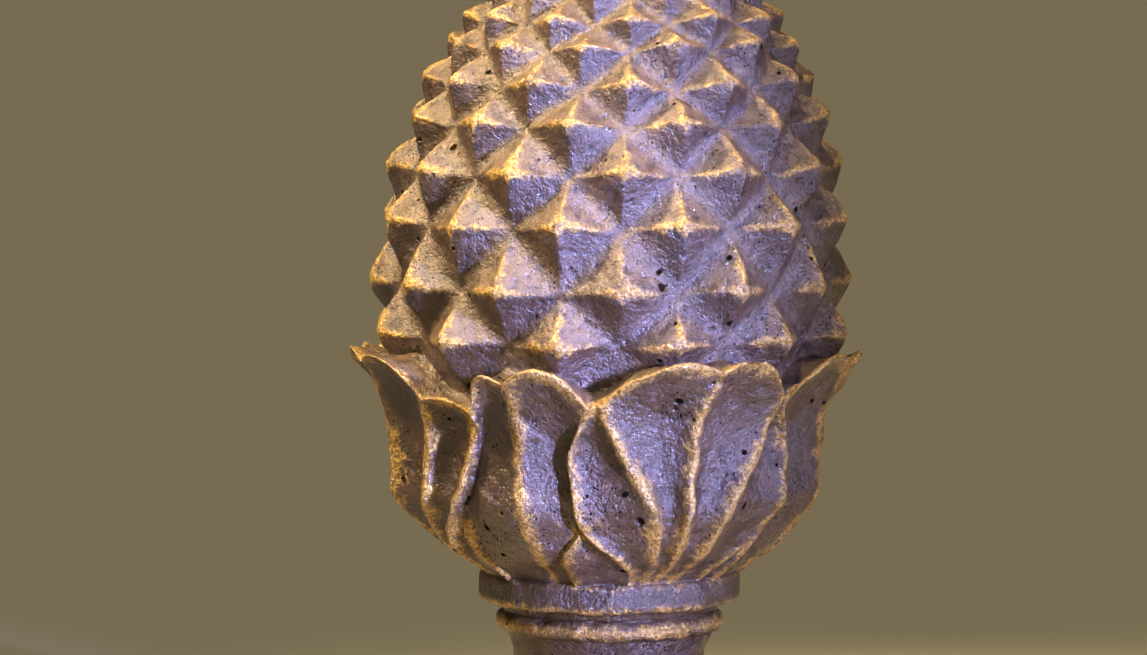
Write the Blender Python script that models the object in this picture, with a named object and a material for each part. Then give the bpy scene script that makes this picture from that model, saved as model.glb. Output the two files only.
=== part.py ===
"""Acorn finial, cast in one piece: a cone of pointed scales in a cup of leaves, on a turned neck and plinth.

The shape is worked out in millimetres, with z up and the underside of the plinth at z = 0. The front is -Y,
and angles round the finial are counted from the front towards +X.
"""

import math

import bpy
import numpy as np

MM = 0.001

# Turned stem, from the bottom up
PLINTH_SIDE = 140.0
PLINTH_HEIGHT = 22.0
PLINTH_CHAMFER = 1.6
FOOT_RADIUS = 56.0
FOOT_HEIGHT = 12.0
FOOT_FILLET_RADIUS = 49.0
FOOT_FILLET_HEIGHT = 3.0
NECK_SET_IN = 1.5
NECK_RADIUS = 38.5
NECK_HEIGHT = 30.0
BEAD_RADIUS = 45.6
BEAD_HEIGHT = 8.0
GROOVE_DEPTH = 2.4
GROOVE_HEIGHT = 4.0
RING_RADIUS = 52.4
RING_HEIGHT = 12.0
STEP_EASE = 0.3
SEAM_OVERLAP = 1.5
STEM_SIDES = 40

# Cup of leaves
CUP_RADIUS = 88.8
CUP_HEIGHT = 92.0
FLUTE_DEPTH = 5.6
FLUTE_ROUNDING_POWER = 0.8
EDGE_DROP = 3.8
EDGE_DROP_ANGLE = 26.0
BACK_RIB_SETBACK = 3.2
BACK_FOOT_SETBACK = 10.4
WALL_ANGLE = 0.9
BASAL_LOBE_LIFT = 3.6
BASAL_LOBE_WALL_SHARE = 0.05
LIP_WIDTH = 2.4
LIP_RISE = 0.9
LOBE_RISE_SHARE = 0.1
OUTER_LOBE_SHARE = 0.3
BROAD_LOBE_ANGLE = 12.0
LEDGE_RADIUS_SHARE = 0.965
LEDGE_EASE_POWER = 2.5
LEDGE_EVENING_ANGLE = 7.0
LEDGE_FOLLOW_SHARE = 0.7

# Cone of scales
CONE_OVERHANG = 9.0
CONE_WIDEST_SHARE = 1.26
CONE_RISE = 142.0
SCALE_HEIGHT = 12.4
SCALES_ROUND = 12
LATTICE_ANGLE = 2.5
CONE_LEAN = 6.2
BUD_RADIUS = 13.0
BUD_HEIGHT = 10.0

# Where things stand, from the sizes above
FOOT_TOP = PLINTH_HEIGHT + FOOT_HEIGHT
NECK_BASE = FOOT_TOP + FOOT_FILLET_HEIGHT
BEAD_BASE = NECK_BASE + NECK_HEIGHT
GROOVE_BASE = BEAD_BASE + BEAD_HEIGHT
RING_BASE = GROOVE_BASE + GROOVE_HEIGHT
CUP_BASE = RING_BASE + RING_HEIGHT
CONE_WIDEST = CONE_WIDEST_SHARE * CUP_HEIGHT + CUP_BASE
CONE_RADIUS = CUP_RADIUS + CONE_OVERHANG
CORE_RADIUS = CONE_RADIUS - SCALE_HEIGHT
LEDGE_RADIUS = LEDGE_RADIUS_SHARE * CORE_RADIUS

# Radius of the cup over its belly radius, against height over the cup's height
CUP_PROFILE_SHARES = (
    (-0.03, 0.53), (0.0, 0.57), (0.022, 0.604), (0.057, 0.658), (0.1, 0.739), (0.165, 0.829),
    (0.235, 0.901), (0.3, 0.962), (0.383, 0.998), (0.478, 0.998), (0.557, 1.009), (0.67, 1.032),
    (0.778, 1.072), (0.887, 1.126), (0.961, 1.176), (1.0, 1.194),
)
# Degrees from the middle of a front leaf, against height over the cup's height
NARROW_EDGE_ANGLES = (
    (-0.03, 13.0), (0.04, 14.0), (0.143, 20.0), (0.239, 28.5), (0.326, 31.0), (0.461, 32.2),
    (0.561, 32.7), (0.626, 31.8), (0.704, 29.6), (0.79, 26.4),
)
BROAD_EDGE_ANGLES = (
    (-0.03, 9.0), (0.04, 10.0), (0.109, 11.8), (0.165, 14.2), (0.243, 19.2), (0.3, 23.3), (0.39, 27.4),
    (0.51, 31.0), (0.626, 34.2), (0.704, 36.2), (0.735, 36.2),
)
WIDE_BASE_EDGE_ANGLES = (
    (-0.03, 21.0), (0.04, 23.0), (0.143, 28.5), (0.239, 32.0), (0.326, 33.4), (0.461, 33.0),
    (0.561, 32.7), (0.626, 31.8), (0.704, 29.6), (0.8, 26.0),
)
SIDE_RIB_ANGLES = (
    (-0.03, 5.0), (0.17, 8.5), (0.32, 10.5), (0.45, 14.0), (0.6, 18.6), (0.7, 21.6), (0.8, 23.6),
)
UPRIGHT_RIB_ANGLES = (
    (-0.03, 4.5), (0.15, 8.0), (0.27, 12.6), (0.36, 15.2), (0.52, 16.8), (0.68, 19.6), (0.8, 21.5),
)
SLANTED_RIB_ANGLES = (
    (-0.03, 5.5), (0.17, 8.8), (0.32, 10.0), (0.47, 15.0), (0.61, 20.4), (0.72, 23.4), (0.8, 24.4),
)
CENTRE_RIB_ANGLES = ((-0.03, -1.5), (0.15, -1.2), (0.45, -1.2), (0.6, -0.5), (0.75, 0.0), (0.943, 2.5))
# Share of the way from a back leaf's rib to the front leaf where the basal lobe's rim runs, on either side
BASAL_LOBE_RIM_SHARES = (
    (-0.03, 0.28), (0.03, 0.28), (0.09, 0.31), (0.15, 0.42), (0.2, 0.64), (0.24, 0.9), (0.27, 0.95),
    (1.0, 0.95),
)
SMALL_LOBE_RIM_SHARES = ((-0.03, 0.68), (0.03, 0.72), (0.1, 0.79), (0.2, 0.9), (0.26, 0.95), (1.0, 0.95))
BASAL_LOBE_FADE_SHARES = ((-0.03, 0.6), (0.03, 1.0), (0.2, 1.0), (0.25, 0.75), (0.31, 0.0), (1.0, 0.0))
# How far the flutes and the setback of the back leaves are cut, against the way up the leaf
CUT_DEPTH_SHARES = (
    (0.0, 0.05), (0.05, 0.16), (0.15, 0.5), (0.3, 0.88), (0.45, 1.0), (0.75, 1.0), (0.88, 0.75),
    (0.96, 0.32), (1.0, 0.12),
)
BACK_RIM_SHARE = 0.909
BACK_EVEN_DROP_SHARE = 0.11
BACK_LOBE_SKEW_FACTOR = 6.0
BACK_CORNER_RISE_SHARE = 0.01
BACK_RIB_SHIFT_ANGLE = 2.2
BACK_RIB_TURN_ANGLE = 0.5
LEDGE_STEP_SHARE = 0.35

# Front leaves: angle of the middle, edge and rib on the left, rib and edge on the right, and outward bend
FRONT_LEAVES = (
    (22.3, NARROW_EDGE_ANGLES, SIDE_RIB_ANGLES, SLANTED_RIB_ANGLES, WIDE_BASE_EDGE_ANGLES, 1.0),
    (118.0, NARROW_EDGE_ANGLES, SIDE_RIB_ANGLES, SIDE_RIB_ANGLES, NARROW_EDGE_ANGLES, 0.6),
    (203.0, NARROW_EDGE_ANGLES, SIDE_RIB_ANGLES, SIDE_RIB_ANGLES, NARROW_EDGE_ANGLES, 0.95),
    (288.0, NARROW_EDGE_ANGLES, SIDE_RIB_ANGLES, UPRIGHT_RIB_ANGLES, BROAD_EDGE_ANGLES, 1.04),
)
LEAF_ROW_SHARES = (0.0, 0.05, 0.1, 0.16, 0.22, 0.3, 0.4, 0.52, 0.66, 0.78, 0.88, 0.95, 1.0)

# Height of each row of scales over the cone's rise. Row 0 is the widest, and the cup hides the lowest
HIDDEN_ROW_COUNT = 2
FIRST_ROW = -HIDDEN_ROW_COUNT
SCALE_ROW_SHARES = (
    -0.31, -0.145, 0.0, 0.18, 0.327, 0.466, 0.575, 0.68, 0.752, 0.83, 0.888, 0.932, 0.966,
)
SCALE_SHRINK_POWER = 0.8
SCALE_DROOP_SHARE = 0.55
SCALE_LIFT_SHARE = 0.07
SCALE_JITTER_SHARE = 0.04
SCALE_HEIGHT_JITTER_SHARE = 0.09
SCALE_SHOULDER_SHARE = 0.16
SCALE_SHOULDER_HEIGHT_SHARE = 0.9
SCALE_FOOT_SHARE = 0.83
CORNER_DEPTH_SHARE = 0.05


def curve(points, at):
    """A smooth curve through the points, read at each place."""
    xs, ys = np.array(points, float).T
    at = np.clip(np.asarray(at, float), xs[0], xs[-1])
    slopes = np.gradient(ys, xs)
    steps = np.diff(ys) / np.diff(xs)
    turning = np.concatenate([[False], steps[:-1] * steps[1:] <= 0, [False]])
    slopes[turning] = 0.0
    i = np.clip(np.searchsorted(xs, at, side="right") - 1, 0, len(xs) - 2)
    width = xs[i + 1] - xs[i]
    s = (at - xs[i]) / width
    rise = ys[i + 1] - ys[i]
    a = slopes[i] * width - rise
    b = rise - slopes[i + 1] * width
    return ys[i] + s * rise + s * (1 - s) * ((1 - s) * a + s * b)


def hump(f):
    """Nothing at both ends of a leaf's rim between two ribs, and 1 in the middle."""
    return 4 * f * (1 - f)


def scoop(f):
    """How deep a flute is cut from one rib (0) to the next (1)."""
    return (4 * f * (1 - f)) ** FLUTE_ROUNDING_POWER


def leaf_radius(height, bend):
    """Radius of the cup at a height over the cup's height, where leaves bend outward this much."""
    shape = curve(CUP_PROFILE_SHARES, height)
    return CUP_RADIUS * (shape + (bend - 1) * np.clip(shape - 1, 0, None))


def leaf_lines(leaf, rows):
    """The edge and rib lines of a front leaf from left to right, each as angles and heights up its rows."""
    middle, left, left_rib, right_rib, right, _ = leaf
    lines = []
    for points, side in ((left, -1), (left_rib, -1), (CENTRE_RIB_ANGLES, 1), (right_rib, 1), (right, 1)):
        start = points[0][0]
        heights = start + (points[-1][0] - start) * rows
        lines.append((middle + side * curve(points, heights), heights))
    return lines


def front_leaf(leaf, rows, steps):
    """Columns of a front leaf, each with the angle, height and radius of its points."""
    middle = leaf[0]
    lines = leaf_lines(leaf, rows)
    cut = curve(CUT_DEPTH_SHARES, rows)
    columns = []
    for k in range(4):
        (angle_a, height_a), (angle_b, height_b) = lines[k], lines[k + 1]
        inner = k in (1, 2)
        breadth = abs(angle_b[-1] - angle_a[-1])
        outer_share = OUTER_LOBE_SHARE * min(1.0, breadth / BROAD_LOBE_ANGLE)
        rise = LOBE_RISE_SHARE * (1.0 if inner else outer_share)
        count = steps[0] if inner else steps[1]
        last = 1 if k == 3 else 0
        for i in range(count + last):
            f = i / count
            angle = (1 - f) * angle_a + f * angle_b
            height = (1 - f) * height_a + f * height_b + rise * hump(f) * rows**3
            share = np.abs(angle - middle) / EDGE_DROP_ANGLE
            drop = EDGE_DROP * share**2 * curve(CUT_DEPTH_SHARES, np.minimum(rows, 0.6))
            radius = leaf_radius(height, leaf[-1]) - drop - FLUTE_DEPTH * scoop(f) * cut
            columns.append((angle, height, radius))
    return columns


def back_leaf(leaf, following, rows, steps):
    """Columns of the leaf that shows between one front leaf and the one that follows it."""
    angle_a, height_a = leaf_lines(leaf, rows)[-1]
    angle_b, height_b = leaf_lines(following, rows)[0]
    angle_b = angle_b + (360.0 if angle_b[0] < angle_a[0] else 0.0)
    angle_a = angle_a + WALL_ANGLE
    angle_b = angle_b - WALL_ANGLE
    rib_angle = 0.5 * (angle_a.mean() + angle_b.mean()) + BACK_RIB_SHIFT_ANGLE + BACK_RIB_TURN_ANGLE * rows
    base = height_a[0]
    rib_height = base + (BACK_RIM_SHARE - base) * rows
    cut = curve(CUT_DEPTH_SHARES, rows)
    bend = 0.5 * (leaf[-1] + following[-1])
    halves = []
    sides = ((angle_a, height_a, SMALL_LOBE_RIM_SHARES), (angle_b, height_b, BASAL_LOBE_RIM_SHARES))
    for edge_angle, edge_height, lobe_rim in sides:
        edge_height = edge_height + BACK_CORNER_RISE_SHARE * rows**6
        skew = 1 + BACK_LOBE_SKEW_FACTOR * max(0.0, BACK_RIM_SHARE - edge_height[-1] - BACK_EVEN_DROP_SHARE)
        rise = LOBE_RISE_SHARE * (0.4 + 0.6 * skew)
        rim = curve(lobe_rim, edge_height)
        wall = rim - BASAL_LOBE_WALL_SHARE
        shares = [wall * i / steps for i in range(steps)] + [wall, rim, 0.5 * (rim + 1), np.ones(len(rows))]
        half = []
        for f in shares:
            f = f * np.ones(len(rows))
            angle = (1 - f) * rib_angle + f * edge_angle
            height = (1 - f) * rib_height + f * edge_height + rise * hump(f**skew) * rows**3
            setback = BACK_RIB_SETBACK + (BACK_FOOT_SETBACK - BACK_RIB_SETBACK) * np.sin(0.5 * np.pi * f)
            beyond = np.clip((f - rim) / (1 - rim), 0, 1)
            lift = np.where(f >= rim, 1 - 0.7 * np.sin(0.8 * np.pi * beyond), 0.0)
            lift = BASAL_LOBE_LIFT * lift * curve(BASAL_LOBE_FADE_SHARES, height)
            half.append((angle, height, leaf_radius(height, bend) - setback * cut + lift))
        halves.append(half)
    return halves[0][::-1] + halves[1][1:]


def cup_columns(rows, front_steps, back_steps):
    columns = []
    for k, leaf in enumerate(FRONT_LEAVES):
        columns += front_leaf(leaf, rows, front_steps)
        columns += back_leaf(leaf, FRONT_LEAVES[(k + 1) % len(FRONT_LEAVES)], rows, back_steps)
    return columns


def evened(angle, height):
    """Heights round a ring, each the average over a few degrees, drawn up where the rim is above that."""
    apart = (angle[:, None] - angle[None, :] + 180.0) % 360.0 - 180.0
    share = np.exp(-((apart / LEDGE_EVENING_ANGLE) ** 2))
    share *= np.abs((np.roll(angle, -1) - np.roll(angle, 1) + 180.0) % 360.0 - 180.0)
    average = share @ height / share.sum(axis=1)
    return average + LEDGE_FOLLOW_SHARE * np.maximum(height - average, 0)


def on_ring(angle, radius, height):
    """Points at these angles in degrees from the front, radii and heights."""
    turn = np.radians(angle)
    return np.stack([radius * np.sin(turn), -radius * np.cos(turn), height + 0.0 * turn], axis=-1)


def closed_grid(points):
    """Rings of points from the bottom up, each ring the same way round, closed by a fan at both ends."""
    rings, round_count, _ = points.shape
    below = points[0].mean(axis=0)
    above = points[-1].mean(axis=0)
    vertices = np.concatenate([points.reshape(-1, 3), [below, above]])
    bottom = rings * round_count
    top = bottom + 1
    faces = []
    for i in range(round_count):
        n = (i + 1) % round_count
        faces.append((bottom, n, i))
        faces.append((top, (rings - 1) * round_count + i, (rings - 1) * round_count + n))
        for r in range(rings - 1):
            a, b = r * round_count + i, r * round_count + n
            c, d = b + round_count, a + round_count
            short = np.linalg.norm(vertices[a] - vertices[c]) < np.linalg.norm(vertices[b] - vertices[d])
            faces += [(a, b, c), (a, c, d)] if short else [(a, b, d), (b, c, d)]
    return vertices, faces


def cup_solid():
    """The leaves with the ledge inside their rims."""
    rows = np.array(LEAF_ROW_SHARES)
    rings = []
    columns = cup_columns(rows, (4, 2), 3)
    angle = np.array([c[0] for c in columns]).T
    height = CUP_BASE + CUP_HEIGHT * np.array([c[1] for c in columns]).T
    radius = np.array([c[2] for c in columns]).T
    for r in range(len(rows)):
        rings.append(on_ring(angle[r], radius[r], height[r]))
    lip = on_ring(angle[-1], radius[-1] - LIP_WIDTH, height[-1] + LIP_RISE)
    ledge = evened(angle[-1], height[-1]) + LIP_RISE
    inner = on_ring(angle[-1], LEDGE_RADIUS, ledge)
    core = on_ring(angle[-1], 0.7 * LEDGE_RADIUS, ledge.max())
    between = (1 - LEDGE_STEP_SHARE) * lip + LEDGE_STEP_SHARE * inner
    between[:, 2] += (1 - LEDGE_STEP_SHARE - (1 - LEDGE_STEP_SHARE) ** LEDGE_EASE_POWER) * (inner - lip)[:, 2]
    rings += [lip, between, inner, core]
    return closed_grid(np.array(rings))


def row_turn(row):
    """How far up the cone's oval a place is, in radians, for a row number that may be a fraction."""
    numbers = FIRST_ROW + np.arange(len(SCALE_ROW_SHARES))
    turns = np.arcsin(SCALE_ROW_SHARES)
    below = turns[0] - (turns[1] - turns[0])
    above = turns[-1] + 0.7 * (turns[-1] - turns[-2])
    return np.interp(row, [FIRST_ROW - 1, *numbers, numbers[-1] + 1], [below, *turns, above])


def on_cone(column, row, lift):
    """A point of the cone: half a scale to a column, a row to a row of scales, lift 1 at a scale's point."""
    turn = row_turn(row)
    sunk = SCALE_HEIGHT * np.cos(turn) ** SCALE_SHRINK_POWER * (1 - lift)
    radius = CONE_RADIUS * np.cos(turn) - sunk * np.cos(SCALE_DROOP_SHARE * turn)
    height = CONE_RISE * np.sin(turn) - sunk * np.sin(SCALE_DROOP_SHARE * turn)
    point = on_ring(LATTICE_ANGLE + column * 180.0 / SCALES_ROUND, radius, CONE_WIDEST + height)
    point[..., 0] += CONE_LEAN * np.clip((height + 0.1 * CONE_RISE) / (0.85 * CONE_RISE), 0, 2) ** 1.2
    return point


def scale_shifts():
    """For each scale, how far its point sits from the middle of its foot, and its own height."""
    chance = np.random.RandomState(11)
    shape = (len(SCALE_ROW_SHARES), 2 * SCALES_ROUND)
    sideways = SCALE_JITTER_SHARE * chance.uniform(-1, 1, shape)
    upward = SCALE_LIFT_SHARE + SCALE_JITTER_SHARE * chance.uniform(-1, 1, shape)
    tall = 1 + SCALE_HEIGHT_JITTER_SHARE * chance.uniform(-1, 1, shape)
    tall[0] = 0.0
    return sideways, upward, tall


def cone_solid():
    """The cone: a point, four shoulders and four feet to a scale, with a flat valley between neighbours."""
    sideways, upward, tall = scale_shifts()
    columns = 2 * SCALES_ROUND
    first, last = FIRST_ROW, FIRST_ROW + len(SCALE_ROW_SHARES) - 1
    vertices = []
    index = {}

    def vertex(key, column, row, lift):
        if key not in index:
            index[key] = len(vertices)
            vertices.append(on_cone(float(column), float(row), lift))
        return index[key]

    def node(i, j):
        """A scale's point, or the corner where four scales meet."""
        i %= columns
        if (i + j) % 2 == 0:
            k = (j - FIRST_ROW, i)
            return vertex(("node", i, j), i + sideways[k], j + upward[k], tall[k])
        return vertex(("node", i, j), i, j, -CORNER_DEPTH_SHARE)

    def along(point, corner, share, lift, name):
        """A place on the ridge from a scale's point to a corner."""
        (i, j), (ci, cj) = point, corner
        k = (j - FIRST_ROW, i % columns)
        left = 1 - share
        at_column = i + (ci - i) * share + sideways[k] * left
        at_row = j + (cj - j) * share + upward[k] * left
        key = (name, i % columns, j, ci - i, cj - j)
        return vertex(key, at_column, at_row, lift * tall[k] if share < 0.5 else lift)

    def shoulder(point, corner):
        return along(point, corner, SCALE_SHOULDER_SHARE, SCALE_SHOULDER_HEIGHT_SHARE, "shoulder")

    def foot(point, corner):
        return along(point, corner, SCALE_FOOT_SHARE, 0.0, "foot")

    faces = []
    for j in range(first, last):
        for i in range(columns):
            ring = [(i, j), (i + 1, j), (i + 1, j + 1), (i, j + 1)]
            if (i + j) % 2:
                ring = ring[1:] + ring[:1]
            a, b, c, d = ring
            for point, one, two in ((a, b, d), (c, d, b)):
                s1, s2 = shoulder(point, one), shoulder(point, two)
                f1, f2 = foot(point, one), foot(point, two)
                faces += [(node(*point), s1, s2), (s1, f1, f2), (s1, f2, s2)]
            ab, ad, cb, cd = foot(a, b), foot(a, d), foot(c, b), foot(c, d)
            faces += [(ab, cb, cd), (ab, cd, ad)]
            faces += [(ab, node(*b), cb), (ad, cd, node(*d))]

    def rim(j):
        """The border vertices of the scales at their lowest or highest row, in order."""
        found = []
        for i in range(columns):
            found.append(node(i, j))
            if (i + j) % 2 == 0:
                found += [shoulder((i, j), (i + 1, j)), foot((i, j), (i + 1, j))]
            else:
                found += [foot((i + 1, j), (i, j)), shoulder((i + 1, j), (i, j))]
        return found

    def lathe(border, profile, downward):
        """Rings that carry the border on to a closed end."""
        ring = border
        angles = [math.atan2(vertices[v][0] - axis_x, -vertices[v][1]) for v in border]
        for radius, height in profile:
            fresh = []
            for turn in angles:
                place = (axis_x + radius * math.sin(turn), -radius * math.cos(turn), height)
                fresh.append(len(vertices))
                vertices.append(np.array(place))
            join(ring, fresh, downward)
            ring = fresh
        tip = len(vertices)
        drop = -STEP_EASE if downward else 0.12 * BUD_RADIUS
        vertices.append(np.array([axis_x, 0.0, profile[-1][1] + drop]))
        for k in range(len(ring)):
            n = (k + 1) % len(ring)
            faces.append((ring[n], ring[k], tip) if downward else (ring[k], ring[n], tip))

    def join(lower, upper, downward):
        for k in range(len(lower)):
            n = (k + 1) % len(lower)
            quad = [(lower[k], lower[n], upper[n]), (lower[k], upper[n], upper[k])]
            faces.extend([q[::-1] for q in quad] if downward else quad)

    axis_x = 0.0
    base_height = vertices[node(0, first)][2] - 0.12 * CONE_RISE
    lathe(rim(first), [(0.88 * CORE_RADIUS, base_height)], True)
    top = rim(last)
    axis_x = float(np.mean([vertices[v][0] for v in top]))
    shelf = float(np.mean([vertices[v][2] for v in top]))
    bud = [
        (BUD_RADIUS, shelf + 0.1 * BUD_HEIGHT),
        (0.94 * BUD_RADIUS, shelf + 0.5 * BUD_HEIGHT),
        (0.6 * BUD_RADIUS, shelf + 0.88 * BUD_HEIGHT),
    ]
    lathe(top, bud, False)
    return np.array(vertices), faces


def rounded(radius, low, high, corner, count):
    """Profile points of a moulding with rounded edges, from its foot to its top."""
    corner = min(corner, 0.5 * (high - low))
    turns = np.linspace(0, 0.5 * np.pi, count)
    lower = [(radius - corner * (1 - math.sin(t)), low + corner * (1 - math.cos(t))) for t in turns]
    upper = [(r, high - (z - low)) for r, z in reversed(lower)]
    return lower + upper[1 if upper[0] == lower[-1] else 0:]


def stem_profile():
    """Radius and height up the turned stem."""
    waist = NECK_BASE + 0.62 * NECK_HEIGHT
    profile = [(FOOT_RADIUS - 0.5 * FOOT_HEIGHT, PLINTH_HEIGHT - SEAM_OVERLAP)]
    profile += rounded(FOOT_RADIUS, PLINTH_HEIGHT, FOOT_TOP, 0.5 * FOOT_HEIGHT, 3)
    profile += [(FOOT_FILLET_RADIUS, FOOT_TOP + STEP_EASE), (FOOT_FILLET_RADIUS, NECK_BASE)]
    spread = FOOT_FILLET_RADIUS - NECK_SET_IN - NECK_RADIUS
    for share in (0.0, 0.12, 0.3, 0.55):
        height = NECK_BASE + STEP_EASE + share * (waist - NECK_BASE)
        profile.append((NECK_RADIUS + spread * (1 - share) ** 3, height))
    flare = 0.45 * (BEAD_RADIUS - NECK_RADIUS)
    for share in (0.0, 0.6, 0.95):
        profile.append((NECK_RADIUS + flare * share**2, waist + share * (BEAD_BASE - waist)))
    profile += rounded(BEAD_RADIUS, BEAD_BASE, GROOVE_BASE, 0.5 * BEAD_HEIGHT, 3)
    ease = 0.12 * GROOVE_HEIGHT
    profile.append((BEAD_RADIUS - GROOVE_DEPTH, GROOVE_BASE + ease))
    profile.append((BEAD_RADIUS - 0.4 * GROOVE_DEPTH, RING_BASE - ease))
    profile += rounded(RING_RADIUS, RING_BASE, CUP_BASE, 0.22 * RING_HEIGHT, 3)
    profile.append((0.8 * RING_RADIUS, CUP_BASE + STEP_EASE))
    return profile


def stem_solid():
    turns = np.arange(STEM_SIDES) * 360.0 / STEM_SIDES
    rings = [on_ring(turns, radius, height) for radius, height in stem_profile()]
    return closed_grid(np.array(rings))


def plinth_solid():
    """A square slab with a small chamfer on its upright edges and round its top."""
    half = 0.5 * PLINTH_SIDE
    cut = PLINTH_CHAMFER
    rings = []
    for inset, height in ((0.0, 0.0), (0.0, PLINTH_HEIGHT - cut), (cut, PLINTH_HEIGHT)):
        side, corner = half - inset, half - cut - 0.6 * inset
        ring = [(corner, -side), (side, -corner), (side, corner), (corner, side)]
        ring += [(-x, -y) for x, y in ring]
        rings.append([(x, y, height) for x, y in ring])
    return closed_grid(np.array(rings))


def solid_object(name, shape, material):
    vertices, faces = shape
    mesh = bpy.data.meshes.new(name)
    mesh.from_pydata((np.asarray(vertices) * MM).tolist(), [], [tuple(int(v) for v in f) for f in faces])
    mesh.materials.append(material)
    mesh.validate()
    made = bpy.data.objects.new(name, mesh)
    bpy.context.scene.collection.objects.link(made)
    return made


def painted_stone():
    material = bpy.data.materials.new("painted_cast_stone")
    material.use_nodes = True
    shader = material.node_tree.nodes["Principled BSDF"]
    shader.inputs["Base Color"].default_value = (0.16, 0.10, 0.085, 1.0)
    shader.inputs["Roughness"].default_value = 0.42
    return material


def add_union(target, other):
    other.hide_render = True
    other.display_type = "WIRE"
    modifier = target.modifiers.new("with_" + other.name, "BOOLEAN")
    modifier.operation = "UNION"
    modifier.solver = "EXACT"
    modifier.object = other


def build():
    for old in list(bpy.data.objects):
        bpy.data.objects.remove(old, do_unlink=True)
    stone = painted_stone()
    finial = solid_object("acorn_finial", stem_solid(), stone)
    for name, shape in (("plinth", plinth_solid()), ("cup", cup_solid()), ("cone", cone_solid())):
        add_union(finial, solid_object(name, shape, stone))


build()
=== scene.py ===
"""The acorn finial as photographed: cast stone painted mauve brown, gilt on its edges, pitted by air bubbles.

Shapes are worked out in millimetres, with z up and the underside of the plinth at z = 0. The front is -Y,
and angles round the finial are counted from the front towards +X.
"""

import math

import bpy
import numpy as np
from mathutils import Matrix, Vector, kdtree

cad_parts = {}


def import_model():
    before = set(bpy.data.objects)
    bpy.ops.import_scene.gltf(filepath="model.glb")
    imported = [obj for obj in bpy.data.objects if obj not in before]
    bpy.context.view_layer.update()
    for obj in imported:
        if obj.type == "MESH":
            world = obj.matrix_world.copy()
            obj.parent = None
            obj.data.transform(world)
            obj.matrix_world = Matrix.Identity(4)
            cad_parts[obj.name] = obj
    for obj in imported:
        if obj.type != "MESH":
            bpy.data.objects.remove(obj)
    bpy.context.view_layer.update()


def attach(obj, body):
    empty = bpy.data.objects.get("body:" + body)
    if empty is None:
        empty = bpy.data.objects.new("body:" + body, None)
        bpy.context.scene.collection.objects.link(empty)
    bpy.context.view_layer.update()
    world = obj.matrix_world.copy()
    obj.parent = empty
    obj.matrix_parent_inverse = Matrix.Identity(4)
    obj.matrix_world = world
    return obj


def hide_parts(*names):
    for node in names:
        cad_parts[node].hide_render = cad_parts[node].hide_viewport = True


MM = 0.001

# Turned stem, from the bottom up
PLINTH_SIDE = 140.0
PLINTH_HEIGHT = 22.0
PLINTH_CHAMFER = 1.6
FOOT_RADIUS = 56.0
FOOT_HEIGHT = 12.0
FOOT_FILLET_RADIUS = 49.0
FOOT_FILLET_HEIGHT = 3.0
NECK_SET_IN = 1.5
NECK_RADIUS = 38.5
NECK_HEIGHT = 30.0
BEAD_RADIUS = 45.6
BEAD_HEIGHT = 8.0
GROOVE_DEPTH = 2.4
GROOVE_HEIGHT = 4.0
RING_RADIUS = 52.4
RING_HEIGHT = 12.0
STEP_EASE = 0.3
SEAM_OVERLAP = 1.5
STEM_SIDES = 168

# Cup of leaves
CUP_RADIUS = 88.8
CUP_HEIGHT = 92.0
FLUTE_DEPTH = 5.6
FLUTE_ROUNDING_POWER = 0.7
EDGE_DROP = 3.8
EDGE_DROP_ANGLE = 26.0
BACK_RIB_SETBACK = 3.2
BACK_FOOT_SETBACK = 10.4
WALL_ANGLE = 0.9
BASAL_LOBE_LIFT = 3.6
BASAL_LOBE_WALL_SHARE = 0.05
LIP_WIDTH = 2.4
LIP_RISE = 0.9
LOBE_RISE_SHARE = 0.1
OUTER_LOBE_SHARE = 0.3
BROAD_LOBE_ANGLE = 12.0
LEDGE_RADIUS_SHARE = 0.965
LEDGE_EASE_POWER = 2.5
LEDGE_EVENING_ANGLE = 7.0
LEDGE_FOLLOW_SHARE = 0.7

# Raised lines on the leaves: height, and how far each reaches to the side
RIB_HALF_WIDTH = 1.6
FRONT_RIB_BEAD = 0.35
BACK_RIB_BEAD = 0.3
RIB_BEAD_REACH = 1.2
RIM_BEAD = 0.7
SIDE_BEAD_REACH = 1.5
TOP_BEAD_REACH = 1.8

# Cone of scales
CONE_OVERHANG = 9.0
CONE_WIDEST_SHARE = 1.26
CONE_RISE = 142.0
SCALE_HEIGHT = 12.4
SCALES_ROUND = 12
LATTICE_ANGLE = 2.5
CONE_LEAN = 6.2
BUD_RADIUS = 13.0
BUD_HEIGHT = 10.0

# Where things stand, from the sizes above
FOOT_TOP = PLINTH_HEIGHT + FOOT_HEIGHT
NECK_BASE = FOOT_TOP + FOOT_FILLET_HEIGHT
BEAD_BASE = NECK_BASE + NECK_HEIGHT
GROOVE_BASE = BEAD_BASE + BEAD_HEIGHT
RING_BASE = GROOVE_BASE + GROOVE_HEIGHT
CUP_BASE = RING_BASE + RING_HEIGHT
CONE_WIDEST = CONE_WIDEST_SHARE * CUP_HEIGHT + CUP_BASE
CONE_RADIUS = CUP_RADIUS + CONE_OVERHANG
CORE_RADIUS = CONE_RADIUS - SCALE_HEIGHT
LEDGE_RADIUS = LEDGE_RADIUS_SHARE * CORE_RADIUS

# Radius of the cup over its belly radius, against height over the cup's height
CUP_PROFILE_SHARES = (
    (-0.03, 0.53), (0.0, 0.57), (0.022, 0.604), (0.057, 0.658), (0.1, 0.739), (0.165, 0.829),
    (0.235, 0.901), (0.3, 0.962), (0.383, 0.998), (0.478, 0.998), (0.557, 1.009), (0.67, 1.032),
    (0.778, 1.072), (0.887, 1.126), (0.961, 1.176), (1.0, 1.194),
)
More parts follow.
